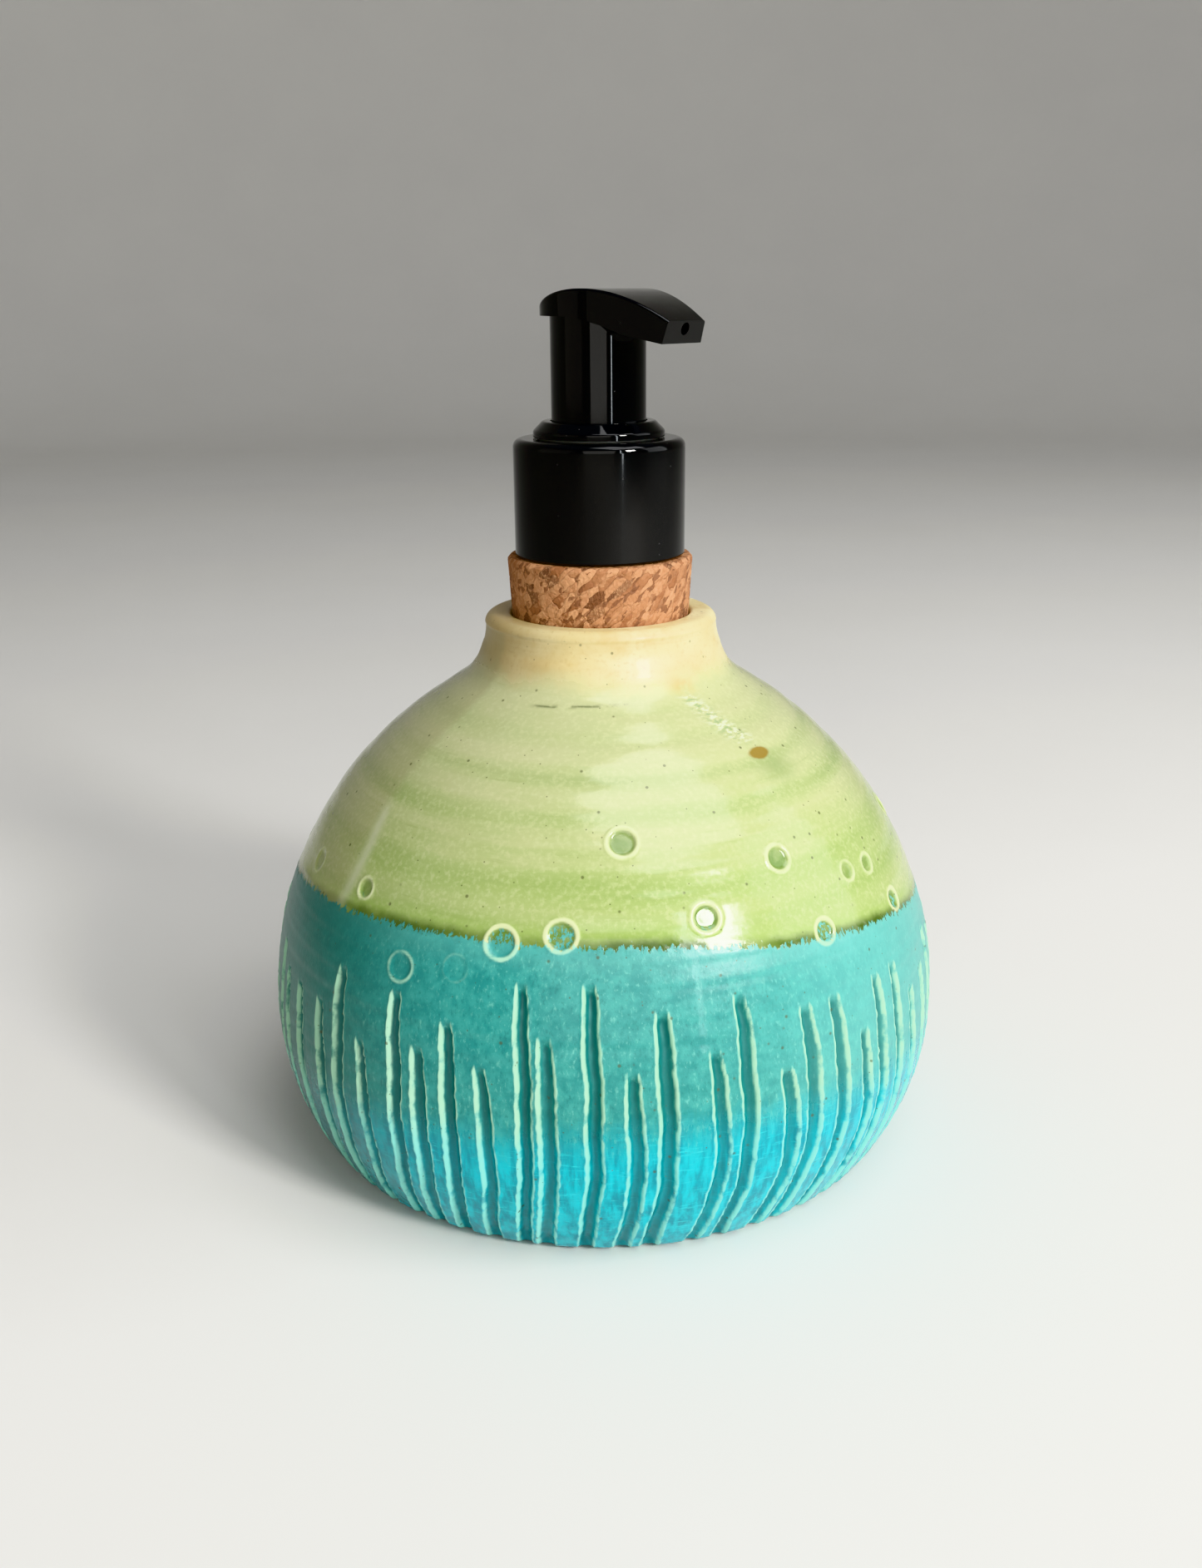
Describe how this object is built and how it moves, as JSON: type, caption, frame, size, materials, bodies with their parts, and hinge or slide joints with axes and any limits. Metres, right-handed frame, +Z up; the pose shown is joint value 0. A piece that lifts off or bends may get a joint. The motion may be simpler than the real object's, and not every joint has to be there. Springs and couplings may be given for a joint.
{
  "type": "soap pump dispenser",
  "caption": "Round wheel-thrown stoneware bottle with a tapered cork stopper that carries a black lotion pump: screw collar, lock ring, sprung plunger and swivelling nozzle head.",
  "frame": {"origin": "centre of the bottle's foot, on the surface it stands on", "axes": "+Z up along the bottle and pump axis; the nozzle is stored at rest pointing 40 degrees from +X towards -Y"},
  "size_m": [0.1116, 0.1116, 0.1364],
  "materials": {
    "glazed_stoneware": "glossy green and turquoise glaze",
    "cork": "pressed cork granules",
    "natural_plastic": "natural polypropylene",
    "black_plastic": "polished black polypropylene",
    "seal_rubber": "soft foamed seal",
    "clear_tube": "translucent polyethylene",
    "ball_steel": "polished stainless ball",
    "spring_steel": "drawn stainless wire",
    "piston_plastic": "soft polyethylene"
  },
  "bodies": {
    "bottle": {"ceramic_bottle": "glazed_stoneware"},
    "stopper": {"cork_stopper": "cork", "neck_insert": "natural_plastic"},
    "pump_core": {"pump_housing": "natural_plastic", "sealing_gasket": "seal_rubber", "lock_ring": "black_plastic", "stem_guide": "natural_plastic", "dip_tube": "clear_tube", "ball_retainer": "natural_plastic"},
    "collar": {"screw_collar": "black_plastic"},
    "plunger": {"lower_stem": "natural_plastic", "upper_stem": "black_plastic", "return_spring": "spring_steel"},
    "piston": {"piston": "piston_plastic"},
    "head": {"actuator_head": "black_plastic"},
    "ball": {"inlet_ball": "ball_steel"}
  },
  "joints": [
    {"name": "stopper_lift", "type": "slide", "parent": "bottle", "child": "stopper", "axis": [0, 0, 1], "range_m": [0, 0.085]},
    {"name": "pump_rise", "type": "slide", "parent": "stopper", "child": "pump_core", "axis": [0, 0, 1], "range_m": [0, 0.0051]},
    {"name": "collar_unscrew", "type": "hinge", "parent": "pump_core", "child": "collar", "pos_m": [0, 0, 0.105], "axis": [0, 0, 1], "range_deg": [0, 540]},
    {"name": "pump_stroke", "type": "slide", "parent": "pump_core", "child": "plunger", "axis": [0, 0, -1], "range_m": [0, 0.0125], "stiffness_N_per_m": 400, "springref_m": -0.004, "deforming": ["return_spring"]},
    {"name": "piston_float", "type": "slide", "parent": "plunger", "child": "piston", "axis": [0, 0, 1], "range_m": [0, 0.0008]},
    {"name": "head_swivel", "type": "hinge", "parent": "plunger", "child": "head", "pos_m": [0, 0, 0.125], "axis": [0, 0, 1], "continuous": true},
    {"name": "ball_lift", "type": "slide", "parent": "pump_core", "child": "ball", "axis": [0, 0, 1], "range_m": [0, 0.001]}
  ],
  "couplings": [
    {"joint": "pump_rise", "follows": "collar_unscrew", "m_per_rad": 0.00050532}
  ]
}
